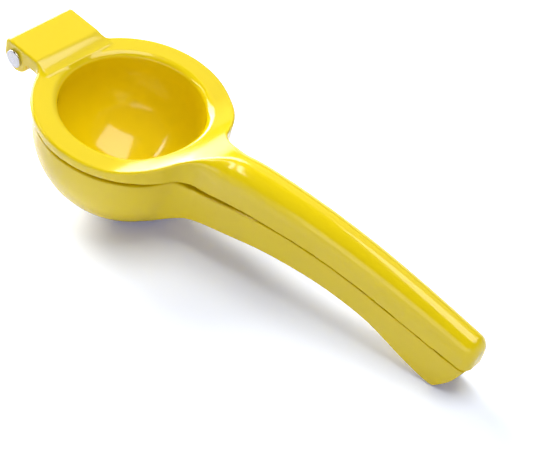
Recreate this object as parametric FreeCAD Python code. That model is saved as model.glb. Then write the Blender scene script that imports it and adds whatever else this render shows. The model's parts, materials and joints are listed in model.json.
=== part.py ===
"""Hinged lemon squeezer: two enamelled castings and the steel pin that joins them.

The castings are drawn in the tool frame. Its X runs from the bowl to the tip of the handles,
its Z runs up, and its origin is the bowl's centre in the plane of the rim. At the end the
closed squeezer is pitched onto its cup and its heel, as it lies on a table.
"""
import FreeCAD
import Part
import math
import os

# Rim and press bowl of the upper casting
rim_radius = 40.0
rim_height = 4.5
rim_edge_round = 1.2
bowl_radius = 29.3
bowl_depth = 36.0
bowl_wall = 2.8
bowl_root_round = 2.0
lip_round = 3.0

# Strainer cup of the lower casting
cup_overhang = 1.4
cup_wall = 3.0
cup_depth = 50.0
drain_hole_diameter = 4.5
drain_ring_step = 9.0
drain_rings = 2
holes_per_ring_step = 6

# Neck and handles, seen from above
neck_round = 11.5
neck_half_width = 9.0
tip_half_width = 6.0
tip_reach = 130.4
tip_corner_round = 2.5

# Stations along the handles are measured outwards from the rim on a handle of this reach, and
# they spread out or close up when the tip moves
station_reach = 130.4

# Height of the upper handle's back above the rim plane, at stations outwards from the rim
ramp_start = -22.0
back_stations = ((-12.0, 1.8), (-3.0, 5.2), (6.0, 10.6), (16.0, 15.2), (32.0, 18.6),
                 (56.0, 21.2), (80.0, 22.1), (106.0, 21.2))
tip_height = 19.4
tip_fall = -0.08
tip_top_round = 4.4

# Rounding of the handle's back: it grows along the neck from the rim's edge to an arch
arch_full_reach = 20.0
arch_flat_width = 1.0
arch_stations = 10
neck_stations = 5

# Parting line between the handles, at stations outwards from the rim
parting_start = 4.0
parting_stations = ((16.0, -1.9), (34.0, 2.3), (56.0, 6.0), (82.0, 7.5), (106.0, 6.8))
parting_tip_z = 6.3
parting_gap = 0.3
relief_depth = 3.8
relief_start_clearance = 1.2
relief_end = 26.0
relief_first_slope = 0.12
relief_last_slope = 0.2

# Underside of the lower handle, at stations outwards from the rim
belly_stations = ((-13.0, -32.5), (-3.0, -27.3), (6.0, -22.4), (16.0, -18.5), (26.0, -15.0),
                  (37.0, -11.2), (50.0, -7.9), (64.0, -5.3), (78.0, -4.2), (91.0, -4.9),
                  (105.0, -8.2))
web_root_slope = 0.7
heel_reach = 120.0
heel_z = -10.2
heel_land = 2.4
heel_slope = -0.12
chin_reach = 126.0
chin_z = -1.8
chin_setback = 1.0
web_fillet = 6.0
belly_edge_round = 0.9

# Cored pockets in the mating faces of the handles
pocket_start = 28.0
pocket_end_margin = 14.0
pocket_side_wall = 3.0
pocket_floor = 4.6

# Hinge
hinge_reach = 10.4
hinge_z = -4.1
hinge_width = 33.5
ear_radius = 6.4
hood_top_z = 2.4
hood_rear_round = 2.2
hood_root_land = 0.1
hood_root_length = 7.0
hood_root_sink = 0.4
hood_root_slope = -0.2
hood_side_round = 0.8
hood_plate_under_z = -3.9
knuckle_radius = 3.8
knuckle_width = 16.0
knuckle_gap = 0.35
knuckle_side_gap = 0.4
arm_depth = 13.0
opening_angle = 120.0

# Pin
pin_radius = 1.9
pin_play = 0.05
head_radius = 3.8
head_thickness = 1.3
head_round = 0.5
peened_radius = 3.2
peened_height = 1.1

# Derived sizes
bowl_centre_z = bowl_radius - bowl_depth
dome_radius = bowl_radius + bowl_wall
cup_radius = rim_radius - cup_overhang
cup_rim_z = -rim_height - parting_gap
cup_centre_z = cup_radius - cup_depth
cavity_radius = cup_radius - cup_wall
hinge_x = -rim_radius - hinge_reach
hood_root_x = -bowl_radius - lip_round - hood_root_land
tip_x = rim_radius + tip_reach
stretch = tip_reach / station_reach
ramp_start_x = rim_radius + ramp_start * stretch
parting_start_x = rim_radius + parting_start * stretch
arch_full_x = rim_radius + arch_full_reach * stretch
pocket_start_x = rim_radius + pocket_start * stretch
relief_end_x = rim_radius + relief_end * stretch
heel_x = rim_radius + heel_reach * stretch
chin_x = rim_radius + chin_reach * stretch
web_root_x = rim_radius + belly_stations[0][0] * stretch
far = 3.0 * rim_radius
overcut = 1.0
same_place = 0.01
looks_up = 0.5
upright = 0.3

X_AXIS = FreeCAD.Vector(1, 0, 0)
Y_AXIS = FreeCAD.Vector(0, 1, 0)
Z_AXIS = FreeCAD.Vector(0, 0, 1)


def point(x, z, y=0.0):
    """A point of the XZ plane, or off it by y."""
    return FreeCAD.Vector(x, y, z)


def line(start, end):
    """A straight edge."""
    return Part.LineSegment(start, end).toShape()


def arc(start, through, end):
    """A round edge through three points."""
    return Part.Arc(start, through, end).toShape()


def chain(points):
    """Straight edges from each point to the next."""
    return [line(start, end) for start, end in zip(points, points[1:])]


def curve(points, first_slope, last_slope):
    """A smooth curve through points of the XZ plane, with its slope at both ends."""
    spline = Part.BSplineCurve()
    spline.interpolate(Points=[point(x, z) for x, z in points],
                       InitialTangent=point(1, first_slope),
                       FinalTangent=point(1, last_slope))
    return spline


def from_rim(stations):
    """Stations measured outwards from the rim's edge, as places in the tool frame."""
    return [(rim_radius + reach * stretch, z) for reach, z in stations]


def height_on(spline, x):
    """Height of a side-view curve at a station."""
    crossing = Part.LineSegment(point(x, -far), point(x, far))
    return spline.intersectCC(crossing)[0].Z


def slab(edges, half_width):
    """Closed XZ outline extruded equally to both sides of the middle plane."""
    face = Part.Face(Part.Wire(Part.__sortEdges__(edges)))
    solid = face.extrude(Y_AXIS * (2.0 * half_width))
    solid.translate(Y_AXIS * -half_width)
    return solid


def turned(edges):
    """Closed XZ outline turned about the bowl's axis."""
    face = Part.Face(Part.Wire(Part.__sortEdges__(edges)))
    return face.revolve(point(0, 0), Z_AXIS, 360)


def drum(radius, half_width, x, z):
    """Solid cylinder along Y, centred on the middle plane."""
    return Part.makeCylinder(radius, 2.0 * half_width, point(x, z, -half_width), Y_AXIS)


def block(x_range, half_width, z_range):
    """Rectangular block, centred on the middle plane."""
    corner = point(x_range[0], z_range[0], -half_width)
    return Part.makeBox(x_range[1] - x_range[0], 2.0 * half_width, z_range[1] - z_range[0], corner)


def mirrored(vector):
    """The same point on the other side of the middle plane."""
    return FreeCAD.Vector(vector.x, -vector.y, vector.z)


def middle(edge):
    """The point half-way along an edge."""
    return edge.valueAt(0.5 * (edge.FirstParameter + edge.LastParameter))


def rounded(solid, radius, wanted):
    """The solid with every edge rounded whose middle point is wanted."""
    return solid.makeFillet(radius, [edge for edge in solid.Edges if wanted(middle(edge))])


def only_solid(shape):
    """The one solid of a boolean result."""
    return max(shape.Solids, key=lambda solid: solid.Volume)


# Outline from above
def side_line():
    """Where the neck's curve leaves the rim and meets the straight side of the handle."""
    slope = (neck_half_width - tip_half_width) / (tip_x - rim_radius)
    along = FreeCAD.Vector(1.0, -slope, 0).normalize()
    outwards = FreeCAD.Vector(slope, 1.0, 0).normalize()
    start = FreeCAD.Vector(rim_radius, neck_half_width, 0) + outwards * neck_round
    reach = rim_radius + neck_round
    half = start.dot(along)
    step = -half + math.sqrt(half * half - start.dot(start) + reach * reach)
    centre = start + along * step
    return centre * (rim_radius / reach), centre, centre - outwards * neck_round, slope


neck_on_rim, neck_centre, neck_on_side, side_slope = side_line()


def half_width_at(x):
    """Half the width of the handles at a station."""
    return tip_half_width + side_slope * (tip_x - x)


def prism_from_above(edges):
    """Closed XY outline as a prism that is taller than the tool."""
    prism = Part.Face(Part.Wire(edges)).extrude(Z_AXIS * (2.0 * far))
    prism.translate(Z_AXIS * -far)
    return prism


def rim_and_handle_prism():
    """Rim circle, neck curves and the straight sides of the handle."""
    chord = (neck_on_rim + neck_on_side) * 0.5
    on_arc = neck_centre + (chord - neck_centre).normalize() * neck_round
    tip = FreeCAD.Vector(tip_x, tip_half_width, 0)
    return prism_from_above([
        arc(neck_on_rim, on_arc, neck_on_side),
        line(neck_on_side, tip),
        line(tip, mirrored(tip)),
        line(mirrored(tip), mirrored(neck_on_side)),
        arc(mirrored(neck_on_side), mirrored(on_arc), mirrored(neck_on_rim)),
        arc(mirrored(neck_on_rim), FreeCAD.Vector(-rim_radius, 0, 0), neck_on_rim)])


def tapered_prism(start_x, end_x, inset):
    """The handle's straight sides between two stations, moved inwards by an inset."""
    start = FreeCAD.Vector(start_x, half_width_at(start_x) - inset, 0)
    end = FreeCAD.Vector(end_x, half_width_at(end_x) - inset, 0)
    corners = [start, end, mirrored(end), mirrored(start), start]
    return prism_from_above(chain(corners))


# Curves of the side view
back_line = [(ramp_start_x, 0.0)] + from_rim(back_stations) + [(tip_x, tip_height)]
back = curve(back_line, 0.0, tip_fall)
parting_line = [(parting_start_x, -rim_height)] + from_rim(parting_stations)
parting_line += [(tip_x, parting_tip_z)]
parting = curve(parting_line, 0.0, 0.0)
lower_top = curve([(x, z - parting_gap) for x, z in parting_line], 0.0, 0.0)


def raised(spline, amount):
    """A side-view curve moved up by an amount, or down by a negative one."""
    moved = spline.copy()
    moved.translate(point(0, amount))
    return moved


def handle_pocket(high, low):
    """Cored pocket between two side-view curves, inside the walls of a handle."""
    end_x = tip_x - pocket_end_margin
    edges = []
    for spline in (high, low):
        first = spline.parameter(point(pocket_start_x, height_on(spline, pocket_start_x)))
        last = spline.parameter(point(end_x, height_on(spline, end_x)))
        edges.append(spline.toShape(first, last))
    for x in (pocket_start_x, end_x):
        edges.append(line(point(x, height_on(high, x)), point(x, height_on(low, x))))
    solid = slab(edges, far).common(tapered_prism(pocket_start_x, end_x, pocket_side_wall))
    return only_solid(solid)


# Upper casting
def rim_ramp_and_handle():
    """Flat rim, the ramp that climbs from it and the handle, with square edges."""
    start_x = -rim_radius - overcut
    edges = chain([point(parting_start_x, -rim_height), point(start_x, -rim_height),
                   point(start_x, 0), point(ramp_start_x, 0)])
    edges += [back.toShape(), parting.toShape()]
    edges += chain([point(tip_x, tip_height), point(tip_x, parting_tip_z)])
    return only_solid(slab(edges, far).common(rim_and_handle_prism()))


def on_top_outline(solid):
    """The edges where a face that looks up meets an upright one."""
    chosen = []
    for edge in solid.Edges:
        ups = 0
        uprights = 0
        for face in solid.ancestorsOfType(edge, Part.Face):
            lift = face.normalAt(*face.Surface.parameter(middle(edge))).z
            ups += lift > looks_up
            uprights += abs(lift) < upright
        if ups == 1 and uprights == 1:
            chosen.append(edge)
    return chosen


def corner_section(x, radius):
    """Closed outline at a station, outside a round of the handle's upper edge."""
    side = half_width_at(x)
    top = height_on(back, x)
    slant = math.sqrt(0.5) * radius
    on_top = FreeCAD.Vector(x, side - radius, top)
    on_round = FreeCAD.Vector(x, side - radius + slant, top - radius + slant)
    on_side = FreeCAD.Vector(x, side, top - radius)
    out_low = on_side + Y_AXIS * overcut
    out_high = FreeCAD.Vector(x, side + overcut, top + overcut)
    in_high = on_top + Z_AXIS * overcut
    return Part.Wire([arc(on_top, on_round, on_side)]
                     + chain([on_side, out_low, out_high, in_high, on_top]))


def arch_radius(x):
    """Radius of the back's round at a station: an arch, or less along the neck."""
    full = half_width_at(x) - 0.5 * arch_flat_width
    share = (x - neck_on_side.x) / (arch_full_x - neck_on_side.x)
    growth = 0.5 - 0.5 * math.cos(math.pi * min(share, 1.0))
    return rim_edge_round + (full - rim_edge_round) * growth


def back_rounding(start_x, end_x, count):
    """Material outside the arched back between two stations, on the left side."""
    step = (end_x - start_x) / (count - 1)
    stations = [start_x + step * number for number in range(count)]
    return Part.makeLoft([corner_section(x, arch_radius(x)) for x in stations], True, False)


def tip_rounding():
    """Material outside the round over the handle's end."""
    height = height_on(back, tip_x - tip_top_round)
    centre = point(tip_x - tip_top_round, height - tip_top_round)
    slant = math.sqrt(0.5) * tip_top_round
    on_top = centre + Z_AXIS * tip_top_round
    on_end = centre + X_AXIS * tip_top_round
    corner = point(tip_x + overcut, height + overcut)
    edges = [arc(on_top, centre + point(slant, slant), on_end)]
    edges += chain([on_end, point(tip_x + overcut, on_end.z), corner,
                    point(on_top.x, corner.z), on_top])
    return slab(edges, far)


def dome():
    """Outside of the press bowl, with a round where it leaves the rim's underside."""
    under = -rim_height
    root = dome_radius + bowl_root_round
    slant = math.sqrt(0.5) * bowl_root_round
    root_centre = point(root, under - bowl_root_round)
    lowest = bowl_centre_z - dome_radius
    half = math.sqrt(0.5) * dome_radius
    start = point(dome_radius, root_centre.z)
    equator = point(dome_radius, bowl_centre_z)
    edges = chain([point(0, lowest), point(0, under + overcut), point(root, under + overcut),
                   point(root, under)])
    edges += [arc(point(root, under), root_centre + point(-slant, slant), start)]
    edges += [arc(equator, point(half, bowl_centre_z - half), point(0, lowest))]
    edges += chain([start, equator])
    return turned(edges)


def bowl():
    """Inside of the press bowl, open upwards."""
    half = math.sqrt(0.5) * bowl_radius
    equator = point(bowl_radius, bowl_centre_z)
    edges = [arc(equator, point(half, bowl_centre_z - half), point(0, -bowl_depth))]
    edges += chain([point(0, -bowl_depth), point(0, far), point(bowl_radius, far), equator])
    return turned(edges)


def hood():
    """Flat hood over the hinge with an ear at each side, before its slot is cut."""
    half_width = 0.5 * hinge_width
    rear_x = hinge_x - ear_radius
    slant = math.sqrt(0.5) * hood_rear_round
    rear_centre = point(rear_x + hood_rear_round, hood_top_z - hood_rear_round)
    edges = [arc(point(rear_x, rear_centre.z), rear_centre + point(-slant, slant),
                 point(rear_centre.x, hood_top_z))]
    top_end = point(hood_root_x - hood_root_length, hood_top_z)
    root_end = point(hood_root_x, -hood_root_sink)
    edges += chain([point(rear_centre.x, hood_top_z), top_end])
    fall = ((top_end.x, top_end.z), (root_end.x, root_end.z))
    edges.append(curve(fall, 0.0, hood_root_slope).toShape())
    edges += chain([root_end, point(root_end.x, hood_plate_under_z),
                    point(hinge_x, hood_plate_under_z), point(hinge_x, hinge_z),
                    point(rear_x, hinge_z), point(rear_x, rear_centre.z)])
    plate = slab(edges, half_width)
    return plate.fuse(drum(ear_radius, half_width, hinge_x, hinge_z)).removeSplitter()


def on_hood_side(spot):
    """Whether a point lies on the outer face of an ear."""
    return abs(abs(spot.y) - 0.5 * hinge_width) < same_place


def hinge_slot():
    """Room between the ears for the lower casting's knuckle and arm over the whole travel."""
    half_width = 0.5 * knuckle_width + knuckle_side_gap
    reach = knuckle_radius + knuckle_gap
    round_slot = drum(reach, half_width, hinge_x, hinge_z)
    front = block((hinge_x - reach, hinge_x + ear_radius + overcut), half_width,
                  (-far, hood_plate_under_z))
    return round_slot.fuse([front, rear_opening(reach, half_width)])


def rear_opening(reach, half_width):
    """Room behind the knuckle, up to the arm's underside when the squeezer is fully open."""
    before, after = arm_underside()
    along = (after - before).normalize()
    turn = math.radians(opening_angle)
    away = point(along.x * math.cos(turn) + along.z * math.sin(turn),
                 along.z * math.cos(turn) - along.x * math.sin(turn))
    corner = point(hinge_x, hinge_z) + point(away.z, -away.x) * reach
    end = corner + away * far
    edges = chain([corner, end, point(end.x, -far), point(corner.x, -far), corner])
    return slab(edges, half_width)


def on_bowl_mouth(spot):
    """Whether a point lies on the edge between the bowl and the rim or ramp."""
    on_bowl = abs(math.hypot(spot.x, spot.y) - bowl_radius) < same_place
    return on_bowl and spot.z > -0.5 * rim_height


def at_upper_tip(spot):
    """Whether a point lies on an upright corner of the upper handle's end."""
    return abs(spot.x - tip_x) < same_place and abs(spot.y) > tip_half_width - overcut


def press_lever():
    """Upper casting: rim, press bowl, ramp, arched handle and hinge hood."""
    solid = rim_ramp_and_handle()
    solid = rounded(solid, tip_corner_round, at_upper_tip)
    solid = solid.makeFillet(rim_edge_round, on_top_outline(solid))
    for cutter in (back_rounding(neck_on_side.x, arch_full_x, neck_stations),
                   back_rounding(arch_full_x, tip_x, arch_stations)):
        solid = solid.cut(cutter).cut(cutter.mirror(point(0, 0), Y_AXIS))
    solid = only_solid(solid.cut(tip_rounding()))
    cover = rounded(hood(), hood_side_round, on_hood_side)
    solid = solid.fuse([cover, dome()])
    solid = only_solid(solid.cut(bowl()))
    solid = rounded(solid, lip_round, on_bowl_mouth)
    solid = solid.cut(handle_pocket(raised(back, -pocket_floor), raised(parting, -0.5 * far)))
    solid = solid.cut(hinge_slot())
    solid = solid.cut(drum(pin_radius, hinge_width, hinge_x, hinge_z))
    return only_solid(solid)


# Lower casting
def cup_body():
    """Outside of the strainer cup, filled."""
    half = math.sqrt(0.5) * cup_radius
    equator = point(cup_radius, cup_centre_z)
    edges = [arc(equator, point(half, cup_centre_z - half), point(0, -cup_depth))]
    edges += chain([point(0, -cup_depth), point(0, cup_rim_z), point(cup_radius, cup_rim_z),
                    equator])
    return turned(edges)


def cup_cavity():
    """Inside of the strainer cup, open upwards."""
    half = math.sqrt(0.5) * cavity_radius
    lowest = cup_centre_z - cavity_radius
    equator = point(cavity_radius, cup_centre_z)
    edges = [arc(equator, point(half, cup_centre_z - half), point(0, lowest))]
    edges += chain([point(0, lowest), point(0, far), point(cavity_radius, far), equator])
    return turned(edges)


def drain_holes():
    """Holes through the cup's bottom: one in the middle and rings of them around it."""
    low = point(0, -cup_depth - overcut)
    middle_hole = Part.makeCylinder(0.5 * drain_hole_diameter, 0.5 * cup_depth, low, Z_AXIS)
    holes = []
    for ring in range(1, drain_rings + 1):
        count = holes_per_ring_step * ring
        turn = 360.0 / count
        for number in range(count):
            hole = middle_hole.copy()
            hole.translate(X_AXIS * (drain_ring_step * ring))
            hole.rotate(point(0, 0), Z_AXIS, turn * (number + 0.5))
            holes.append(hole)
    return [middle_hole] + holes


def resting_pitch():
    """Angle of the floor under the closed tool, which touches the cup and the heel."""
    run = heel_x
    rise = heel_z - cup_centre_z
    return math.asin(cup_radius / math.hypot(run, rise)) + math.atan2(rise, run)


pitch = resting_pitch()


def heel_ends():
    """Front and back of the flat under the heel, which lies in the floor's plane."""
    along = point(math.cos(pitch), math.sin(pitch)) * (0.5 * heel_land)
    heel = point(heel_x, heel_z)
    return heel - along, heel + along


def belly_above(amount):
    """Underside curve of the lower handle from the web's root to the heel, moved up."""
    before, after = heel_ends()
    stations = from_rim(belly_stations) + [(before.x, before.z)]
    return curve([(x, z + amount) for x, z in stations], web_root_slope, heel_slope)


def web_and_handle():
    """Lower handle with the deep web at its root, square-edged, and flat under the heel."""
    before, after = heel_ends()
    chin = point(chin_x, chin_z)
    end = point(tip_x - chin_setback, height_on(lower_top, tip_x - chin_setback))
    root_z = belly_stations[0][1]
    belly = belly_above(0.0)
    top_start = point(parting_start_x, cup_rim_z)
    last = lower_top.parameter(end)
    edges = [belly.toShape(), lower_top.toShape(lower_top.FirstParameter, last)]
    edges += chain([before, after, chin, end])
    edges += chain([point(web_root_x, root_z), point(web_root_x, cup_rim_z), top_start])
    plan = tapered_prism(web_root_x - overcut, tip_x + overcut, 0.0)
    return only_solid(slab(edges, far).common(plan))


def neck_relief():
    """Room above the root of the lower handle, which narrows to the parting gap."""
    start_x = cup_radius + relief_start_clearance
    floor_z = cup_rim_z - relief_depth
    end = point(relief_end_x, height_on(lower_top, relief_end_x))
    floor = curve(((start_x, floor_z), (relief_end_x, end.z)), relief_first_slope,
                  relief_last_slope)
    edges = [floor.toShape()]
    edges += chain([end, end + Z_AXIS * far, point(start_x, far), point(start_x, floor_z)])
    return slab(edges, far)


def arm_underside():
    """Where the arm's underside leaves the knuckle and where it meets the cup."""
    return (point(hinge_x, hinge_z - knuckle_radius),
            point(-cavity_radius, cup_rim_z - arm_depth))


def hinge_arm():
    """Knuckle round the pin and the arm that carries it, before its bore is cut."""
    half_width = 0.5 * knuckle_width
    before, after = arm_underside()
    edges = chain([point(before.x, cup_rim_z), point(after.x, cup_rim_z), after, before,
                   point(before.x, cup_rim_z)])
    return slab(edges, half_width).fuse(drum(knuckle_radius, half_width, hinge_x, hinge_z))


def at_lower_tip(spot):
    """Whether a point lies on an upright corner of the lower handle's end."""
    side = abs(spot.y) > tip_half_width - overcut
    return spot.x > chin_x + overcut and side and spot.z < parting_tip_z - overcut


def on_underside_outline(spot):
    """Whether a point lies on the outline of the belly, heel and chin."""
    top = height_on(lower_top, min(max(spot.x, parting_start_x), tip_x))
    side = abs(spot.y) > tip_half_width - overcut and spot.z < chin_z + overcut
    across = abs(spot.y) < overcut and heel_x - heel_land < spot.x < chin_x + overcut
    past_root = spot.x > web_root_x + overcut
    return past_root and spot.z < top - overcut and (side or across)


def at_web_root(spot):
    """Whether a point lies where the web meets the outside of the cup."""
    drop = min(spot.z, cup_centre_z) - cup_centre_z
    reach = math.sqrt(spot.x ** 2 + spot.y ** 2 + drop ** 2)
    on_cup = abs(reach - cup_radius) < same_place and spot.z < cup_rim_z - same_place
    beside = abs(spot.y) < neck_half_width + overcut
    return on_cup and beside and spot.x > web_root_x


def cup_lever():
    """Lower casting: strainer cup, web, handle, heel and hinge knuckle."""
    handle = rounded(web_and_handle(), tip_corner_round, at_lower_tip)
    handle = rounded(handle, belly_edge_round, on_underside_outline)
    solid = only_solid(cup_body().fuse(handle))
    solid = rounded(solid, web_fillet, at_web_root)
    solid = only_solid(solid.cut(neck_relief()))
    solid = solid.cut(handle_pocket(raised(lower_top, 0.5 * far), belly_above(pocket_floor)))
    solid = only_solid(solid.fuse(hinge_arm()))
    solid = only_solid(solid.cut(cup_cavity()))
    solid = solid.cut(drain_holes())
    solid = solid.cut(drum(pin_radius + pin_play, hinge_width, hinge_x, hinge_z))
    return only_solid(solid)


# Pin
def spot(radius, y):
    """A point of the pin's outline, at a radius from its axis."""
    return FreeCAD.Vector(radius, y, 0)


def hinge_pin():
    """Steel pin with a turned head at one end and a peened dome at the other."""
    half = 0.5 * hinge_width
    head_end = -half - head_thickness
    corner = math.sqrt(0.5) * head_round
    inner = head_radius - head_round
    crown = half + peened_height
    dome_sphere = (peened_radius ** 2 + peened_height ** 2) / (2.0 * peened_height)
    lean = 0.5 * math.asin(peened_radius / dome_sphere)
    on_dome = spot(dome_sphere * math.sin(lean), crown - dome_sphere * (1.0 - math.cos(lean)))
    edges = chain([spot(0, head_end), spot(inner, head_end)])
    edges += [arc(spot(inner, head_end), spot(inner + corner, head_end + head_round - corner),
                  spot(head_radius, head_end + head_round))]
    edges += chain([spot(head_radius, head_end + head_round), spot(head_radius, -half),
                    spot(pin_radius, -half), spot(pin_radius, half),
                    spot(peened_radius, half)])
    edges += [arc(spot(peened_radius, half), on_dome, spot(0, crown))]
    edges += chain([spot(0, crown), spot(0, head_end)])
    face = Part.Face(Part.Wire(Part.__sortEdges__(edges)))
    solid = face.revolve(point(0, 0), Y_AXIS, 360)
    solid.translate(point(hinge_x, hinge_z))
    return solid


# Resting place
def placed(solids):
    """The solids pitched onto the floor, with the middle of their box's bottom at the origin."""
    for solid in solids.values():
        solid.rotate(point(0, 0), Y_AXIS, math.degrees(pitch))
    box = FreeCAD.BoundBox()
    for solid in solids.values():
        box.add(solid.optimalBoundingBox(False))
    shift = FreeCAD.Vector(-box.Center.x, -box.Center.y, -box.ZMin)
    for solid in solids.values():
        solid.translate(shift)
    return shift


parts = {"press_lever": press_lever(), "cup_lever": cup_lever(), "hinge_pin": hinge_pin()}
shift = placed(parts)
print("pitch in degrees", math.degrees(pitch), "shift", tuple(shift))
os.makedirs("parts", exist_ok=True)
for name, solid in parts.items():
    solid.exportStep("parts/" + name + ".step")
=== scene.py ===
"""Hinged lemon squeezer in glossy yellow enamel, closed and lying on its cup and heel.

Both castings are shaped by distance fields: each form is a signed distance in millimetres, and
the forms are joined and cut with the rounds that a casting has. A surface net turns the field
into one closed mesh, and its points are then moved exactly onto the surface.
"""

import json
import math
import bpy
import numpy as np
from mathutils import Matrix, Quaternion, Vector


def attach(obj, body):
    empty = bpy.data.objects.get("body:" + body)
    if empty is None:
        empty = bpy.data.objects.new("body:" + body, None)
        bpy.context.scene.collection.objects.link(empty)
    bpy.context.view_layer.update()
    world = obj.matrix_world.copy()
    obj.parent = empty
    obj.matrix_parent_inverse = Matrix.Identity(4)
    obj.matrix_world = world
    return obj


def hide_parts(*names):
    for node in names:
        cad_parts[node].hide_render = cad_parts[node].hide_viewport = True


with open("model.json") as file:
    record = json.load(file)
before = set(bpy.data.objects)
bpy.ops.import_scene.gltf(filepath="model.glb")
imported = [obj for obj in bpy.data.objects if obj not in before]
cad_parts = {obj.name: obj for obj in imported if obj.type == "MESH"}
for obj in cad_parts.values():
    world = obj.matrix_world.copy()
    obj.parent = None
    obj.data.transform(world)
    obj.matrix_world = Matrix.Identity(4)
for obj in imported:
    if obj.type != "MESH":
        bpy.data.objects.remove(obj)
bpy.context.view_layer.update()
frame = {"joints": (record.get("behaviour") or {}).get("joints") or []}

# One millimetre in metres
MM = 0.001

# Tool frame in millimetres: X runs from the bowl to the tip, Z is up, and the origin is the
# bowl's centre in the plane of the rim. The rim comes first, its outer wall drafted up to the neck
RIM_RADIUS = 40.0
RIM_HEIGHT = 4.5
RIM_EDGE_ROUND = 1.2
RIM_LOW_ROUND = 0.6
RIM_DRAFT = 0.09
RIM_DRAFT_END = 4.0
RIM_DRAFT_FADE = 8.0

# Press bowl: its dome starts inside the rim, and the mouth's wide round fades out down the wall
BOWL_RADIUS = 29.3
BOWL_DEPTH = 36.0
BOWL_WALL = 2.8
BOWL_ROOT_ROUND = 2.0
DOME_TOP_Z = -2.0
LIP_ROUND = 3.0
LIP_LEAST_SHARE = 0.1
LIP_FADE_Z = -9.0
LIP_FADE = 4.0

# Strainer cup, with its rim sunk below the ring and drain holes in rings round a middle one
CUP_OVERHANG = 1.4
CUP_WALL = 3.0
CUP_DEPTH = 50.0
CUP_RIM_ROUND = 0.8
CUP_RIM_DROP = 1.9
CUP_RIM_LEAST_SHARE = 0.2
CUP_RIM_DROP_FADE = 9.0
DRAIN_HOLE_RADIUS = 2.25
DRAIN_RING_STEP = 9.0
DRAIN_RINGS = 2
HOLES_PER_RING_STEP = 6
DRAIN_EDGE_ROUND = 0.5

# Upper handle: stations of its back as place and height, and the arch that grows along the neck
NECK_ROUND = 11.5
NECK_HALF_WIDTH = 9.0
TIP_HALF_WIDTH = 6.0
TIP_X = 170.4
TIP_CORNER_ROUND = 2.5
BACK_STATIONS = ((18.0, 0.0), (28.0, 1.8), (37.0, 5.2), (46.0, 10.6), (56.0, 15.1), (72.0, 18.3),
                 (96.0, 20.7), (120.0, 21.4), (146.0, 20.3), (170.4, 18.3))
BACK_FALL = -0.08
ARCH_START_X = 38.0
ARCH_FULL_X = 57.0
ARCH_FLAT_WIDTH = 0.6
ARCH_STEEPNESS = 0.24
TIP_END_ROUND = 4.0

# Parting line between the handles, and the relief under it at the lower handle's root
PARTING_STATIONS = ((44.0, -4.5), (56.0, -1.9), (74.0, 2.3), (96.0, 6.0), (122.0, 7.5),
                    (146.0, 6.8), (170.4, 6.3))
PARTING_GAP = 0.3
PARTING_EDGE_ROUND = 0.45
RELIEF_DEPTH = 2.8
RELIEF_START_X = 39.8
RELIEF_END_X = 82.0
RELIEF_SLOPES = (0.16, 0.17)
RELIEF_SLANT = ((34.5, -4.9), (42.5, -7.8))

# Lower handle: stations of its belly, then the heel that it lies on and the chin before the tip
BELLY_STATIONS = ((27.0, -32.5), (37.0, -27.3), (46.0, -22.4), (56.0, -18.5), (66.0, -15.0),
                  (77.0, -11.2), (90.0, -7.9), (104.0, -5.3), (118.0, -4.2), (131.0, -4.9),
                  (145.0, -8.2))
WEB_ROOT_SLOPE = 0.7
HEEL = (160.0, -10.2)
HEEL_LAND = 2.4
HEEL_SLOPE = -0.12
CHIN = (166.9, -2.4)
CHIN_SETBACK = 0.6
WEB_FILLET = 7.0
BELLY_EDGE_ROUND = 0.9

# Cored pockets in the mating faces of both handles
POCKET_START_X = 68.0
POCKET_END_MARGIN = 14.0
POCKET_SIDE_WALL = 3.0
POCKET_FLOOR = 4.6
POCKET_CORNER_ROUND = 2.0

# Hinge: the hood with its ears on the upper casting, the knuckle and arm on the lower one
HINGE = (-50.4, -4.1)
HINGE_HALF_WIDTH = 16.75
EAR_RADIUS = 6.4
HOOD_TOP = 2.4
HOOD_REAR_ROUND = 2.2
HOOD_ROOT_X = -32.4
HOOD_ROOT_LENGTH = 7.0
HOOD_ROOT_SINK = 0.4
HOOD_ROOT_SLOPE = -0.2
HOOD_CREASE_ROUND = 2.6
HOOD_EDGE_ROUND = 0.9
HOOD_UNDER = -3.9
KNUCKLE_RADIUS = 3.8
KNUCKLE_HALF_WIDTH = 8.0
KNUCKLE_GAP = 0.35
KNUCKLE_SIDE_GAP = 0.4
KNUCKLE_FILLET = 0.5
SLOT_OVERCUT = 1.0
ARM_DEPTH = 13.0
ARM_FILLET = 3.0
OPENING_ANGLE = 120.0

# Pin: a turned head at the near end and a peened dome at the far one
PIN_RADIUS = 1.9
PIN_PLAY = 0.05
HEAD_RADIUS = 3.8
HEAD_THICKNESS = 1.3
HEAD_ROUND = 0.5
PEENED_RADIUS = 3.2
PEENED_HEIGHT = 1.1
PIN_SIDES = 96
HEAD_ROUND_STEPS = 6
DOME_STEPS = 8
PIN_SHARP_ANGLE = 40.0

# Surface net: a cell's size, the cells along a coarse block, the share of a block's diagonal
# within which a block counts as near, and the room that is searched round each casting
CELL = 0.7
BLOCK = 4
BLOCK_REACH = 0.75
MARGIN = 2.0
PRESS_LEVER_HEIGHTS = (-41.0, 22.2)
CUP_LEVER_TOP = 7.2

# Steps along the side curves and for slopes, then how often the net's points are moved onto the
# surface, and how many cells they may go
CURVE_STEP = 0.2
SLOPE_STEP = 0.04
SURFACE_STEPS = 4
SURFACE_REACH = 0.8

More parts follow.
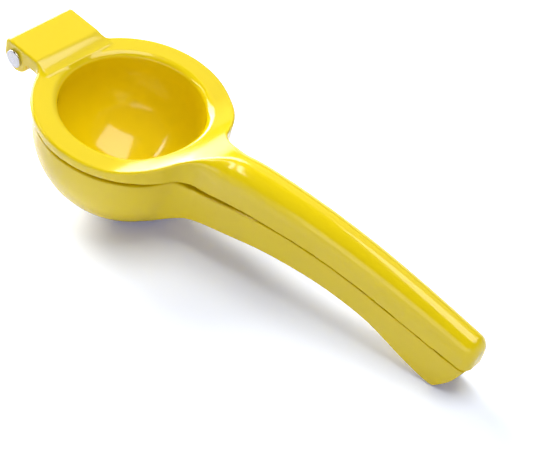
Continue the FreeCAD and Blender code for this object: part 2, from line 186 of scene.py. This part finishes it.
# Worked out from the sizes above
BOWL_CENTRE_Z = BOWL_RADIUS - BOWL_DEPTH
CUP_RADIUS = RIM_RADIUS - CUP_OVERHANG
CUP_CENTRE_Z = CUP_RADIUS - CUP_DEPTH
CUP_RIM_Z = -RIM_HEIGHT - PARTING_GAP
SIDE_SLOPE = (NECK_HALF_WIDTH - TIP_HALF_WIDTH) / (TIP_X - RIM_RADIUS)
ARM_START = (HINGE[0], HINGE[1] - KNUCKLE_RADIUS)
ARM_ROOT = (-CUP_RADIUS + CUP_WALL, CUP_RIM_Z - ARM_DEPTH)

# The closed tool is pitched until it touches the floor with its cup and its heel
PITCH = (math.asin(CUP_RADIUS / math.hypot(HEEL[0], HEEL[1] - CUP_CENTRE_Z))
         + math.atan2(HEEL[1] - CUP_CENTRE_Z, HEEL[0]))
pin_place = Vector(frame["joints"][0]["pos_m"])
TILT = Matrix.Rotation(PITCH, 4, "Y")
SHIFT = pin_place - TILT @ Vector((HINGE[0], 0.0, HINGE[1])) * MM
TO_FRAME = Matrix.Translation(SHIFT) @ TILT @ Matrix.Scale(MM, 4)


# Distance fields: below zero inside a form, above zero outside, in millimetres
def joined(a, b, fillet):
    """Two forms joined, with a concave fillet where they meet."""
    inner = np.hypot(np.maximum(fillet - a, 0.0), np.maximum(fillet - b, 0.0))
    return np.maximum(fillet, np.minimum(a, b)) - inner


def common(a, b, rounding):
    """What two forms share, with a rounded edge where they cross."""
    outer = np.hypot(np.maximum(rounding + a, 0.0), np.maximum(rounding + b, 0.0))
    return np.minimum(-rounding, np.maximum(a, b)) + outer


def cut(a, b, rounding):
    """The first form without the second, with a rounded edge round the cut."""
    return common(a, -b, rounding)


def side_curve(stations, first_slope, last_slope):
    """Cubic spline through stations of the side view, as places, heights and slopes."""
    x, z = np.array(stations, float).T
    gap = np.diff(x)
    rise = np.diff(z) / gap
    count = len(x)
    system = np.eye(count)
    right = np.zeros(count)
    right[0], right[-1] = first_slope, last_slope
    for i in range(1, count - 1):
        system[i, i - 1:i + 2] = gap[i], 2.0 * (gap[i - 1] + gap[i]), gap[i - 1]
        right[i] = 3.0 * (gap[i] * rise[i - 1] + gap[i - 1] * rise[i])
    slopes = np.linalg.solve(system, right)
    places = np.arange(x[0], x[-1] + 0.5 * CURVE_STEP, CURVE_STEP)
    span = np.clip(np.searchsorted(x, places) - 1, 0, count - 2)
    t = (places - x[span]) / gap[span]
    start, end = slopes[span] * gap[span], slopes[span + 1] * gap[span]
    step = z[span + 1] - z[span]
    heights = z[span] + t * (start + t * (3.0 * step - 2.0 * start - end
                                          + t * (start + end - 2.0 * step)))
    tilts = np.gradient(heights, places)
    tilts[0], tilts[-1] = first_slope, last_slope
    return places, heights, tilts


def above_curve(x, z, curve, lift=0.0):
    """Distance above a side-view curve, which runs on straight past its ends."""
    places, heights, slopes = curve
    slope = np.interp(x, places, slopes)
    height = np.interp(x, places, heights)
    height = height + slope * (x - np.clip(x, places[0], places[-1]))
    return (z - height - lift) / np.sqrt(1.0 + slope * slope)


def right_of(x, z, start, end):
    """Distance to the right of the line from start to end in the side view."""
    run, rise = end[0] - start[0], end[1] - start[1]
    length = math.hypot(run, rise)
    return ((x - start[0]) * rise - (z - start[1]) * run) / length


def capsule(x, y, z, radius, centre_z):
    """Hemisphere with a straight wall above it."""
    return np.sqrt(x * x + y * y + np.minimum(z - centre_z, 0.0) ** 2) - radius


def half_width(x):
    """Half the width of the handles at a station."""
    return TIP_HALF_WIDTH + SIDE_SLOPE * (TIP_X - x)


def neck_centre():
    """Centre of the concave curve between the rim and the handle's side, and the curve's end."""
    length = math.hypot(1.0, SIDE_SLOPE)
    along = np.array([1.0, -SIDE_SLOPE]) / length
    out = np.array([SIDE_SLOPE, 1.0]) / length
    start = np.array([RIM_RADIUS, NECK_HALF_WIDTH]) + out * NECK_ROUND
    half = start @ along
    reach = RIM_RADIUS + NECK_ROUND
    centre = start + along * (-half + math.sqrt(half * half - start @ start + reach * reach))
    return centre, centre - out * NECK_ROUND


NECK_CENTRE, NECK_END = neck_centre()
back_curve = side_curve(BACK_STATIONS, 0.0, BACK_FALL)
hood_curve = side_curve(((HOOD_ROOT_X - HOOD_ROOT_LENGTH, HOOD_TOP),
                         (HOOD_ROOT_X, -HOOD_ROOT_SINK)), 0.0, HOOD_ROOT_SLOPE)
parting_curve = side_curve(PARTING_STATIONS, 0.0, 0.0)
lower_top_curve = side_curve([(x, z - PARTING_GAP) for x, z in PARTING_STATIONS], 0.0, 0.0)
heel_before = (HEEL[0] - 0.5 * HEEL_LAND * math.cos(PITCH),
               HEEL[1] - 0.5 * HEEL_LAND * math.sin(PITCH))
heel_after = (2.0 * HEEL[0] - heel_before[0], 2.0 * HEEL[1] - heel_before[1])
belly_curve = side_curve(BELLY_STATIONS + (heel_before,), WEB_ROOT_SLOPE, HEEL_SLOPE)
relief_end_z = float(np.interp(RELIEF_END_X, lower_top_curve[0], lower_top_curve[1]))
relief_curve = side_curve(((RELIEF_START_X, CUP_RIM_Z - RELIEF_DEPTH),
                           (RELIEF_END_X, relief_end_z)), *RELIEF_SLOPES)
chin_end = (TIP_X - CHIN_SETBACK,
            float(np.interp(TIP_X - CHIN_SETBACK, lower_top_curve[0], lower_top_curve[1])))


def handle_side(x, side):
    """Distance outside the straight side of the handles."""
    return (side - half_width(x)) / math.hypot(1.0, SIDE_SLOPE)


def rim_and_handle(x, side):
    """Outline from above: the rim's circle, the neck's concave curves and the handle."""
    circle = np.hypot(x, side) - RIM_RADIUS
    strip = np.maximum(handle_side(x, side), -x)
    from_x, from_y = x - NECK_CENTRE[0], side - NECK_CENTRE[1]
    to_end = NECK_END - NECK_CENTRE
    before_end = from_x * to_end[1] - from_y * to_end[0] > 0.0
    after_rim = from_x * NECK_CENTRE[1] - from_y * NECK_CENTRE[0] > 0.0
    in_fillet = before_end & after_rim & (from_y < 0.0)
    fillet = NECK_ROUND - np.hypot(from_x, from_y)
    return np.where(in_fillet, fillet, np.minimum(circle, strip))


def handle_pocket(x, side, above):
    """Cored pocket in the mating face of a handle, up to its floor."""
    wall = handle_side(x, side) + POCKET_SIDE_WALL
    ends = np.maximum(POCKET_START_X - x, x - (TIP_X - POCKET_END_MARGIN))
    return common(common(wall, ends, POCKET_CORNER_ROUND), above, POCKET_CORNER_ROUND)


def press_lever_field(x, y, z):
    """Upper casting: rim, ramp, arched handle, press bowl and hinge hood."""
    side = np.abs(y)
    above = above_curve(x, z, back_curve)
    below = -above_curve(x, z, parting_curve)
    plan = rim_and_handle(x, side)
    share = np.clip((x - ARCH_START_X) / (ARCH_FULL_X - ARCH_START_X), 0.0, 1.0)
    arch = half_width(x) - 0.5 * ARCH_FLAT_WIDTH
    growth = 0.5 - 0.5 * np.cos(math.pi * share)
    edge = RIM_EDGE_ROUND + (arch - RIM_EDGE_ROUND) * growth
    drafted = np.clip((RIM_RADIUS - RIM_DRAFT_END - x) / RIM_DRAFT_FADE, 0.0, 1.0)
    plan = plan - RIM_DRAFT * z * drafted
    form = common(above * (1.0 - ARCH_STEEPNESS * growth), plan, edge)
    form = common(form, x - TIP_X, TIP_END_ROUND)
    form = common(form, below, np.where(x < RIM_RADIUS, RIM_LOW_ROUND, PARTING_EDGE_ROUND))
    dome = capsule(x, y, z, BOWL_RADIUS + BOWL_WALL, BOWL_CENTRE_Z)
    dome = np.maximum(dome, z - DOME_TOP_Z)
    form = joined(form, dome, BOWL_ROOT_ROUND)
    lip = LIP_ROUND * np.clip((z - LIP_FADE_Z) / LIP_FADE, LIP_LEAST_SHARE, 1.0)
    form = cut(form, capsule(x, y, z, BOWL_RADIUS, BOWL_CENTRE_Z), lip)
    pocket = handle_pocket(x, side, above + POCKET_FLOOR)
    form = cut(form, pocket, PARTING_EDGE_ROUND)
    form = joined(form, hood_field(x, side, z), HOOD_CREASE_ROUND)
    form = cut(form, hinge_slot(x, side, z), PARTING_EDGE_ROUND)
    bore = np.hypot(x - HINGE[0], z - HINGE[1]) - PIN_RADIUS
    return np.maximum(form, -bore)


def hood_field(x, side, z):
    """Flat hood over the hinge, which falls to the rim at its front, with an ear at each side."""
    rear = HINGE[0] - EAR_RADIUS - x
    plate = common(rear, above_curve(x, z, hood_curve), HOOD_REAR_ROUND)
    plate = np.maximum(np.maximum(plate, HOOD_UNDER - z), x - HOOD_ROOT_X)
    ear = np.hypot(x - HINGE[0], z - HINGE[1]) - EAR_RADIUS
    ear = np.minimum(ear, np.maximum(np.maximum(rear, HINGE[1] - z), x - HINGE[0]))
    outline = np.minimum(plate, np.maximum(ear, z - HOOD_TOP + HOOD_REAR_ROUND))
    return common(outline, side - HINGE_HALF_WIDTH, HOOD_EDGE_ROUND)


def hinge_slot(x, side, z):
    """Room between the ears for the knuckle and the arm over the whole travel."""
    from_x, from_z = x - HINGE[0], z - HINGE[1]
    reach = KNUCKLE_RADIUS + KNUCKLE_GAP
    lean = math.atan2(ARM_ROOT[1] - ARM_START[1], ARM_ROOT[0] - ARM_START[0])
    lean -= math.radians(OPENING_ANGLE)
    above_arm = -from_x * math.sin(lean) + from_z * math.cos(lean)
    behind = np.maximum(-above_arm - reach, from_x + reach * math.sin(lean))
    below = np.maximum(z - HOOD_UNDER, np.abs(from_x) - EAR_RADIUS - SLOT_OVERCUT)
    slot = np.minimum(np.hypot(from_x, from_z) - reach, np.minimum(behind, below))
    return np.maximum(slot, side - KNUCKLE_HALF_WIDTH - KNUCKLE_SIDE_GAP)


def cup_lever_field(x, y, z):
    """Lower casting: strainer cup, web, handle, heel and hinge knuckle."""
    side = np.abs(y)
    end = right_of(x, z, CHIN, chin_end)
    flank = common(handle_side(x, side), end, TIP_CORNER_ROUND)
    under = -above_curve(x, z, belly_curve)
    heel = common(right_of(x, z, heel_before, heel_after), right_of(x, z, heel_after, CHIN),
                  BELLY_EDGE_ROUND)
    under = common(common(under, heel, BELLY_EDGE_ROUND), end, BELLY_EDGE_ROUND)
    handle = np.maximum(common(flank, under, BELLY_EDGE_ROUND), BELLY_STATIONS[0][0] - x)
    form = capsule(x, y, z, CUP_RADIUS, CUP_CENTRE_Z)
    form = joined(form, handle, WEB_FILLET)
    arm = np.maximum(right_of(x, z, ARM_START, ARM_ROOT), HINGE[0] - x)
    arm = np.maximum(common(arm, side - KNUCKLE_HALF_WIDTH, BELLY_EDGE_ROUND), x - ARM_ROOT[0])
    form = joined(form, arm, ARM_FILLET)
    form = common(form, above_curve(x, z, lower_top_curve), PARTING_EDGE_ROUND)
    drop = CUP_RIM_DROP * np.clip((RELIEF_START_X - x) / CUP_RIM_DROP_FADE,
                                  CUP_RIM_LEAST_SHARE, 1.0)
    rim = np.maximum(CUP_RIM_Z - drop - z, x - RELIEF_START_X)
    relief = np.maximum(-above_curve(x, z, relief_curve), right_of(x, z, *RELIEF_SLANT))
    relief = np.maximum(relief, x - RELIEF_END_X)
    form = cut(form, np.minimum(rim, relief), CUP_RIM_ROUND)
    form = cut(form, capsule(x, y, z, CUP_RADIUS - CUP_WALL, CUP_CENTRE_Z), CUP_RIM_ROUND)
    knuckle = common(np.hypot(x - HINGE[0], z - HINGE[1]) - KNUCKLE_RADIUS,
                     side - KNUCKLE_HALF_WIDTH, PARTING_EDGE_ROUND)
    form = joined(form, knuckle, KNUCKLE_FILLET)
    under_pocket = above_curve(x, z, belly_curve, POCKET_FLOOR)
    pocket = handle_pocket(x, side, -under_pocket)
    form = cut(form, pocket, PARTING_EDGE_ROUND)
    form = cut(form, drain_holes(x, y, z), DRAIN_EDGE_ROUND)
    bore = np.hypot(x - HINGE[0], z - HINGE[1]) - PIN_RADIUS - PIN_PLAY
    return np.maximum(form, -bore)


def drain_holes(x, y, z):
    """Round holes through the cup's bottom, one in the middle and rings round it."""
    out = np.hypot(x, y)
    angle = np.arctan2(y, x)
    nearest = out
    for ring in range(1, DRAIN_RINGS + 1):
        turn = 2.0 * math.pi / (HOLES_PER_RING_STEP * ring)
        folded = np.mod(angle, turn) - 0.5 * turn
        radius = DRAIN_RING_STEP * ring
        nearest = np.minimum(nearest, np.hypot(out * np.cos(folded) - radius,
                                               out * np.sin(folded)))
    return np.maximum(nearest - DRAIN_HOLE_RADIUS, z - CUP_CENTRE_Z)


# Surface net
def corners(shape):
    """The slices that give each of a cell's eight corners, for all the cells of a grid."""
    return [tuple(slice(step, count + step) for step, count in zip(steps, shape))
            for steps in np.ndindex(2, 2, 2)]


def sampled(field, low, high, cell):
    """The field on a grid: exact near the surface, and only its sign elsewhere."""
    counts = [int(math.ceil((b - a) / (cell * BLOCK))) * BLOCK + 1 for a, b in zip(low, high)]
    axes = [a + cell * np.arange(n) for a, n in zip(low, counts)]
    coarse = field(*np.meshgrid(*[axis[::BLOCK] for axis in axes], indexing="ij"))
    reach = BLOCK_REACH * cell * BLOCK * math.sqrt(3.0)
    near = np.abs(coarse) < reach
    cells = np.zeros([n - 1 for n in near.shape], bool)
    for place in corners(cells.shape):
        cells |= near[place]
    values = coarse
    for axis in range(3):
        values = np.repeat(values, BLOCK, axis=axis)
        cells = np.repeat(cells, BLOCK, axis=axis)
    start = BLOCK // 2
    values = values[start:start + counts[0], start:start + counts[1], start:start + counts[2]]
    values = np.array(values, np.float64)
    mask = np.zeros(counts, bool)
    for place in corners(cells.shape):
        mask[place] |= cells
    spots = np.nonzero(mask)
    values[mask] = field(*[axis[spot] for axis, spot in zip(axes, spots)])
    return values


def gradient(field, points):
    """Unit normals of the field at points, and how steep it is there."""
    slopes = []
    for axis in range(3):
        step = np.zeros(3)
        step[axis] = SLOPE_STEP
        ahead = field(*(points + step).T)
        behind = field(*(points - step).T)
        slopes.append((ahead - behind) / (2.0 * SLOPE_STEP))
    normal = np.stack(slopes, axis=1)
    steep = np.maximum(np.linalg.norm(normal, axis=1), 1e-6)
    return normal / steep[:, None], steep


def surface_net(field, low, high, cell):
    """Closed mesh of the field's surface: points, quads and normals, in millimetres."""
    values = sampled(field, low, high, cell)
    inside = values < 0.0
    shape = [n - 1 for n in inside.shape]
    total = sum(inside[place].astype(np.int8) for place in corners(shape))
    mixed = (total > 0) & (total < 8)
    number = np.full(mixed.shape, -1, np.int64)
    number[mixed] = np.arange(int(mixed.sum()))
    corner = np.stack(np.nonzero(mixed), axis=1)
    summed = np.zeros(corner.shape, float)
    hits = np.zeros(len(corner), float)
    for axis in range(3):
        others = [other for other in range(3) if other != axis]
        for a in (0, 1):
            for b in (0, 1):
                first = corner.copy()
                first[:, others[0]] += a
                first[:, others[1]] += b
                second = first.copy()
                second[:, axis] += 1
                start, stop = values[tuple(first.T)], values[tuple(second.T)]
                crossing = (start < 0.0) != (stop < 0.0)
                share = np.where(crossing, start / np.where(crossing, start - stop, 1.0), 0.0)
                spot = first.astype(float)
                spot[:, axis] += share
                summed[crossing] += spot[crossing]
                hits += crossing
    points = np.array(low) + cell * summed / hits[:, None]
    home = points.copy()
    for _ in range(SURFACE_STEPS):
        normal, steep = gradient(field, points)
        points = points - normal * (field(*points.T) / steep)[:, None]
        away = points - home
        far = np.maximum(np.linalg.norm(away, axis=1), 1e-9)
        points = home + away * np.minimum(1.0, SURFACE_REACH * cell / far)[:, None]
    quads = []
    for axis in range(3):
        a, b = [other for other in range(3) if other != axis]
        lower = [slice(None)] * 3
        upper = [slice(None)] * 3
        lower[axis], upper[axis] = slice(0, -1), slice(1, None)
        for other in (a, b):
            lower[other] = upper[other] = slice(1, -1)
        here, there = inside[tuple(lower)], inside[tuple(upper)]
        spots = np.stack(np.nonzero(here != there), axis=1)
        outwards = here[tuple(spots.T)]
        spots = spots + np.array([0 if other == axis else 1 for other in range(3)])
        ring = []
        for step_a, step_b in ((-1, -1), (0, -1), (0, 0), (-1, 0)):
            cell_spot = spots.copy()
            cell_spot[:, a] += step_a
            cell_spot[:, b] += step_b
            ring.append(number[tuple(cell_spot.T)])
        ring = np.stack(ring, axis=1)
        flip = outwards if axis != 1 else ~outwards
        ring[~flip] = ring[~flip][:, ::-1]
        quads.append(ring)
    normal, _ = gradient(field, points)
    return points, np.concatenate(quads), normal


def linked(name, data):
    """An object of a mesh, light or camera, put into the scene."""
    piece = bpy.data.objects.new(name, data)
    bpy.context.collection.objects.link(piece)
    return piece


def casting(name, field, low, high, material):
    """One casting as a mesh in the frame, with the field's exact normals."""
    points, quads, normals = surface_net(field, low, high, CELL)
    turn = np.array(TILT.to_3x3())
    placed = points * MM @ turn.T + np.array(SHIFT)
    mesh = bpy.data.meshes.new(name)
    mesh.from_pydata(placed.tolist(), [], quads.tolist())
    mesh.validate()
    mesh.update()
    mesh.shade_smooth()
    mesh.normals_split_custom_set_from_vertices((normals @ turn.T).tolist())
    mesh.materials.append(material)
    return linked(name, mesh)


def turned_pin(name, material):
    """Pin with a turned head at the near end and a peened dome at the far one."""
    half = HINGE_HALF_WIDTH
    outline = [(0.0, -half - HEAD_THICKNESS)]
    for step in range(HEAD_ROUND_STEPS + 1):
        lean = 0.5 * math.pi * step / HEAD_ROUND_STEPS
        outline.append((HEAD_RADIUS - HEAD_ROUND * (1.0 - math.sin(lean)),
                        -half - HEAD_THICKNESS + HEAD_ROUND * (1.0 - math.cos(lean))))
    outline += [(HEAD_RADIUS, -half), (PIN_RADIUS, -half), (PIN_RADIUS, half),
                (PEENED_RADIUS, half)]
    dome = (PEENED_RADIUS ** 2 + PEENED_HEIGHT ** 2) / (2.0 * PEENED_HEIGHT)
    widest = math.asin(PEENED_RADIUS / dome)
    for step in range(1, DOME_STEPS + 1):
        lean = widest * (1.0 - step / DOME_STEPS)
        outline.append((dome * math.sin(lean),
                        half + PEENED_HEIGHT - dome * (1.0 - math.cos(lean))))
    points = []
    for radius, y in outline[1:-1]:
        for number in range(PIN_SIDES):
            turn = 2.0 * math.pi * number / PIN_SIDES
            points.append((HINGE[0] + radius * math.cos(turn), y,
                           HINGE[1] + radius * math.sin(turn)))
    ends = (len(points), len(points) + 1)
    points += [(HINGE[0], outline[0][1], HINGE[1]), (HINGE[0], outline[-1][1], HINGE[1])]
    faces = []
    last = (len(outline) - 3) * PIN_SIDES
    for number in range(PIN_SIDES):
        after = (number + 1) % PIN_SIDES
        faces.append((ends[0], number, after))
        for low in range(0, last, PIN_SIDES):
            high = low + PIN_SIDES
            faces.append((low + number, high + number, high + after, low + after))
        faces.append((ends[1], last + after, last + number))
    mesh = bpy.data.meshes.new(name)
    mesh.from_pydata([tuple(TO_FRAME @ Vector(spot)) for spot in points], [], faces)
    mesh.update()
    mesh.shade_smooth()
    mesh.set_sharp_from_angle(angle=math.radians(PIN_SHARP_ANGLE))
    mesh.materials.append(material)
    return linked(name, mesh)


# Materials: the real sizes of their patterns, and how far apart the rings of the wave texture are
# at a scale of 1
COAT_DRIFT = 45.0 * MM
ORANGE_PEEL = 3.5 * MM
TURNING_MARKS = 3.77 * MM
TABLE_GRAIN = 2.5 * MM
WAVE_PERIOD = 2.0 * math.pi / 20.0


def linear(code):
    """Linear colour of an sRGB hex value such as #F2C80A."""
    parts = [int(code[i:i + 2], 16) / 255.0 for i in (1, 3, 5)]
    return [c / 12.92 if c <= 0.04045 else ((c + 0.055) / 1.055) ** 2.4 for c in parts] + [1.0]


def add_node(tree, kind, settings=None, links=None, **values):
    """Adds a node, sets its properties and inputs, and links inputs to other sockets."""
    node = tree.nodes.new(kind)
    for key, value in (settings or {}).items():
        setattr(node, key, value)
    for key, value in values.items():
        node.inputs[key.replace("_", " ")].default_value = value
    for key, socket in (links or {}).items():
        tree.links.new(socket, node.inputs[key])
    return node


def new_material(name):
    """A node material, its tree and its output, which nothing is linked to yet."""
    material = bpy.data.materials.new(name)
    material.use_nodes = True
    material.node_tree.nodes.clear()
    output = material.node_tree.nodes.new("ShaderNodeOutputMaterial")
    return material, material.node_tree, output


def yellow_enamel():
    """Glossy yellow enamel on cast aluminium: one even glassy coat, with the faint orange peel
    and the slow drift in depth and gloss that a sprayed and fired coat has."""
    material, tree, output = new_material("yellow_enamel")
    place = add_node(tree, "ShaderNodeTexCoord")
    drift = add_node(tree, "ShaderNodeTexNoise", links={"Vector": place.outputs["Object"]},
                     Scale=1.0 / COAT_DRIFT, Detail=2.0, Roughness=0.5)
    colour = add_node(tree, "ShaderNodeMix", {"data_type": "RGBA"})
    tree.links.new(drift.outputs["Fac"], colour.inputs[0])
    colour.inputs[6].default_value = linear("#E9CD07")
    colour.inputs[7].default_value = linear("#EDD20D")
    peel = add_node(tree, "ShaderNodeTexNoise", links={"Vector": place.outputs["Object"]},
                    Scale=1.0 / ORANGE_PEEL, Detail=1.0, Roughness=0.4)
    bump = add_node(tree, "ShaderNodeBump", links={"Height": peel.outputs["Fac"]},
                    Strength=0.01, Distance=0.0004)
    gloss = add_node(tree, "ShaderNodeMapRange", links={"Value": drift.outputs["Fac"]},
                     To_Min=0.1, To_Max=0.13)
    shader = add_node(tree, "ShaderNodeBsdfPrincipled",
                      links={"Base Color": colour.outputs[2], "Roughness": gloss.outputs[0],
                             "Normal": bump.outputs[0]}, IOR=1.52)
    tree.links.new(shader.outputs[0], output.inputs["Surface"])
    return material


def turned_steel():
    """Bright turned steel: faint marks round the axis, and a soft metal shine. Real marks are
    far finer, and these are drawn as coarse as they need to be to show at all."""
    material, tree, output = new_material("turned_steel")
    place = add_node(tree, "ShaderNodeTexCoord")
    centred = add_node(tree, "ShaderNodeMapping", links={"Vector": place.outputs["Object"]})
    centred.inputs["Location"].default_value = (-pin_place.x, 0.0, -pin_place.z)
    rings = add_node(tree, "ShaderNodeTexWave",
                     {"wave_type": "RINGS", "rings_direction": "Y", "wave_profile": "SIN"},
                     {"Vector": centred.outputs[0]},
                     Scale=WAVE_PERIOD / TURNING_MARKS, Distortion=0.6, Detail=1.0)
    bump = add_node(tree, "ShaderNodeBump", links={"Height": rings.outputs["Fac"]},
                    Strength=0.12, Distance=0.0001)
    rough = add_node(tree, "ShaderNodeMapRange", links={"Value": rings.outputs["Fac"]},
                     To_Min=0.2, To_Max=0.3)
    shader = add_node(tree, "ShaderNodeBsdfPrincipled",
                      links={"Roughness": rough.outputs[0], "Normal": bump.outputs[0]},
                      Metallic=1.0)
    shader.inputs["Base Color"].default_value = linear("#C9C6C0")
    tree.links.new(shader.outputs[0], output.inputs["Surface"])
    return material


# Pieces
enamel = yellow_enamel()
steel = turned_steel()
press_lever = casting("press_lever_enamelled", press_lever_field,
                      (HINGE[0] - EAR_RADIUS - MARGIN, -RIM_RADIUS - MARGIN,
                       PRESS_LEVER_HEIGHTS[0] - MARGIN),
                      (TIP_X + MARGIN, RIM_RADIUS + MARGIN, PRESS_LEVER_HEIGHTS[1] + MARGIN),
                      enamel)
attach(press_lever, "press_lever")
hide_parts("press_lever")

cup_lever = casting("cup_lever_enamelled", cup_lever_field,
                    (HINGE[0] - KNUCKLE_RADIUS - MARGIN, -CUP_RADIUS - MARGIN,
                     -CUP_DEPTH - MARGIN),
                    (TIP_X + MARGIN, CUP_RADIUS + MARGIN, CUP_LEVER_TOP + MARGIN), enamel)
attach(cup_lever, "cup_lever")
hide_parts("cup_lever")

pin = turned_pin("hinge_pin_turned", steel)
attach(pin, "press_lever")
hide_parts("hinge_pin")


# Floor, light and camera, with places and sizes in metres and powers in watts
TABLE_REACH = 3.0
LIT_PLACE = (0.0, 0.0, 0.02)
CEILING_START = 0.05
CEILING_FULL = 0.35
CEILING_LEVEL = 0.08
ROOM_LEVEL = 0.22
BACKDROP_LEVEL = 1.0

# The camera was matched to the photograph with the tool at this pitch. Its place and its aim are
# counted from the rim's centre, and its focal length is in pixels
MATCHED_PITCH = math.radians(13.96)
CAMERA_FROM_RIM = Vector((0.3493, -0.3065, 0.2986))
AIM_FROM_RIM = Vector((0.0464, 0.0312, -0.0538))
FOCAL_PIXELS = 1400.0
PICTURE_WIDTH = 550.0
SENSOR_WIDTH = 36.0


def floor():
    """White table top that keeps the object's shadow and looks pure white to the camera."""
    material, tree, output = new_material("white_table")
    place = add_node(tree, "ShaderNodeTexCoord")
    grain = add_node(tree, "ShaderNodeTexNoise", links={"Vector": place.outputs["Object"]},
                     Scale=1.0 / TABLE_GRAIN, Detail=2.0)
    bump = add_node(tree, "ShaderNodeBump", links={"Height": grain.outputs["Fac"]},
                    Strength=0.03, Distance=0.0002)
    shader = add_node(tree, "ShaderNodeBsdfPrincipled", links={"Normal": bump.outputs[0]},
                      Roughness=0.6)
    seen = add_node(tree, "ShaderNodeLightPath")
    colour = add_node(tree, "ShaderNodeMix", {"data_type": "RGBA"})
    tree.links.new(seen.outputs["Is Camera Ray"], colour.inputs[0])
    colour.inputs[6].default_value = linear("#E4E8FD")
    colour.inputs[7].default_value = linear("#FAFEFF")
    tree.links.new(colour.outputs[2], shader.inputs["Base Color"])
    glow = add_node(tree, "ShaderNodeEmission",
                    links={"Strength": seen.outputs["Is Camera Ray"]})
    glow.inputs["Color"].default_value = linear("#303F79")
    both = add_node(tree, "ShaderNodeAddShader", links={0: shader.outputs[0], 1: glow.outputs[0]})
    tree.links.new(both.outputs[0], output.inputs["Surface"])
    mesh = bpy.data.meshes.new("table_top")
    mesh.from_pydata([(TABLE_REACH * x, TABLE_REACH * y, 0.0)
                      for x, y in ((-1, -1), (1, -1), (1, 1), (-1, 1))], [], [(0, 1, 2, 3)])
    mesh.materials.append(material)
    piece = linked("table_top", mesh)


def soft_box(name, place, target, size, power, turn=0.0):
    """A rectangular soft light that faces a target, turned in degrees about its own axis."""
    data = bpy.data.lights.new(name, "AREA")
    data.shape = "RECTANGLE"
    data.size, data.size_y = size
    data.energy = power
    lamp = linked(name, data)
    lamp.location = place
    facing = (Vector(target) - Vector(place)).to_track_quat("-Z", "Y")
    spin = Quaternion((0.0, 0.0, 1.0), math.radians(turn))
    lamp.rotation_euler = (facing @ spin).to_euler()
    return lamp


def camera():
    """Camera at the photograph's viewing angle, found from the rim's circle and the handle."""
    rim = TO_FRAME @ Vector((0.0, 0.0, 0.0))
    correction = Matrix.Rotation(PITCH - MATCHED_PITCH, 3, "Y")
    place = rim + correction @ CAMERA_FROM_RIM
    aim = rim + correction @ AIM_FROM_RIM
    up = correction @ Vector((0.0, 0.0, 1.0))
    back = (place - aim).normalized()
    right = up.cross(back).normalized()
    data = bpy.data.cameras.new("camera")
    data.sensor_width = SENSOR_WIDTH
    data.lens = FOCAL_PIXELS / PICTURE_WIDTH * SENSOR_WIDTH
    piece = linked("camera", data)
    turn = Matrix((right, back.cross(right), back)).transposed()
    piece.matrix_world = Matrix.Translation(place) @ turn.to_4x4()
    bpy.context.scene.camera = piece


def studio_world():
    """Pale surroundings: a bright backdrop low down and a dim ceiling in the reflections."""
    world = bpy.data.worlds.new("studio")
    world.use_nodes = True
    tree = world.node_tree
    tree.nodes.clear()
    place = add_node(tree, "ShaderNodeTexCoord")
    height = add_node(tree, "ShaderNodeSeparateXYZ", links={"Vector": place.outputs["Generated"]})
    ceiling = add_node(tree, "ShaderNodeMapRange", {"interpolation_type": "SMOOTHSTEP"},
                       {"Value": height.outputs["Z"]}, From_Min=CEILING_START,
                       From_Max=CEILING_FULL, To_Min=BACKDROP_LEVEL, To_Max=CEILING_LEVEL)
    seen = add_node(tree, "ShaderNodeLightPath")
    level = add_node(tree, "ShaderNodeMix", {"data_type": "FLOAT"},
                     {0: seen.outputs["Is Glossy Ray"], 3: ceiling.outputs[0]})
    level.inputs[2].default_value = ROOM_LEVEL
    shown = add_node(tree, "ShaderNodeMix", {"data_type": "FLOAT"},
                     {0: seen.outputs["Is Camera Ray"], 2: level.outputs[0]})
    shown.inputs[3].default_value = BACKDROP_LEVEL
    glow = add_node(tree, "ShaderNodeBackground", links={"Strength": shown.outputs[0]})
    add_node(tree, "ShaderNodeOutputWorld", links={"Surface": glow.outputs[0]})
    bpy.context.scene.world = world


floor()
camera()
studio_world()
soft_box("window_light", (-0.88, 0.25, 0.5), LIT_PLACE, (0.7, 0.76), 15.5)
soft_box("low_card", (-0.95, 0.62, 0.2), LIT_PLACE, (0.6, 0.36), 1.4)
soft_box("front_card", (0.3, -1.3, 0.32), (0.02, 0.0, 0.02), (1.8, 0.5), 4.3)

# This light only fills the shade, and the three after it only shine in the coat and the steel
fill = soft_box("overhead_fill", (0.3, 0.1, 1.2), LIT_PLACE, (0.8, 0.8), 10.5)
fill.visible_glossy = False
for name, place, size, power, turn in (
        ("overhead_panel", (0.42, 0.28, 1.0), (0.95, 0.95), 11.0, 0.0),
        ("back_card", (-0.31, 0.78, 0.93), (1.1, 0.9), 2.0, 0.0),
        ("strip_light", (-0.56, -0.35, 0.77), (0.58, 0.07), 1.2, -34.0)):
    shine = soft_box(name, place, LIT_PLACE, size, power, turn)
    shine.visible_diffuse = False
bpy.context.scene.view_settings.view_transform = "Standard"
